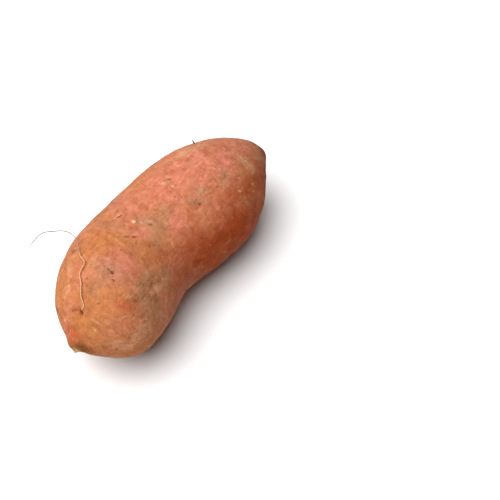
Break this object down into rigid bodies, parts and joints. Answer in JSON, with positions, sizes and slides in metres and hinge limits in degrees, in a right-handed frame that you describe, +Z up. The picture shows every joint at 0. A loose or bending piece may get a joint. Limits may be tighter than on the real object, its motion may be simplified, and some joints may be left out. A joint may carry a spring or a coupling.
{
  "type": "sweet potato",
  "caption": "Whole raw sweet potato lying on its side: a plump bean-like root with a slight waist, a short tail nub, a corky crown and a long dried hair root.",
  "frame": {"origin": "on the small flat spot under the belly that it rests on, straight below the middle of its volume", "axes": "+X along the root to its crown, with the tail at -X; +Z up; -Y is the side the root's ends bend to"},
  "size_m": [0.161, 0.0771, 0.0684],
  "materials": {
    "skin": "matte salmon-brown root skin with dusty tan patches, dark eyes and small scars",
    "rootlet": "dry pale-tan root fibre, greyer towards the tip"
  },
  "bodies": {
    "root": {"tuber": "skin", "hair_root": "rootlet", "root_stub_top": "rootlet", "root_stub_back": "rootlet"}
  },
  "joints": []
}
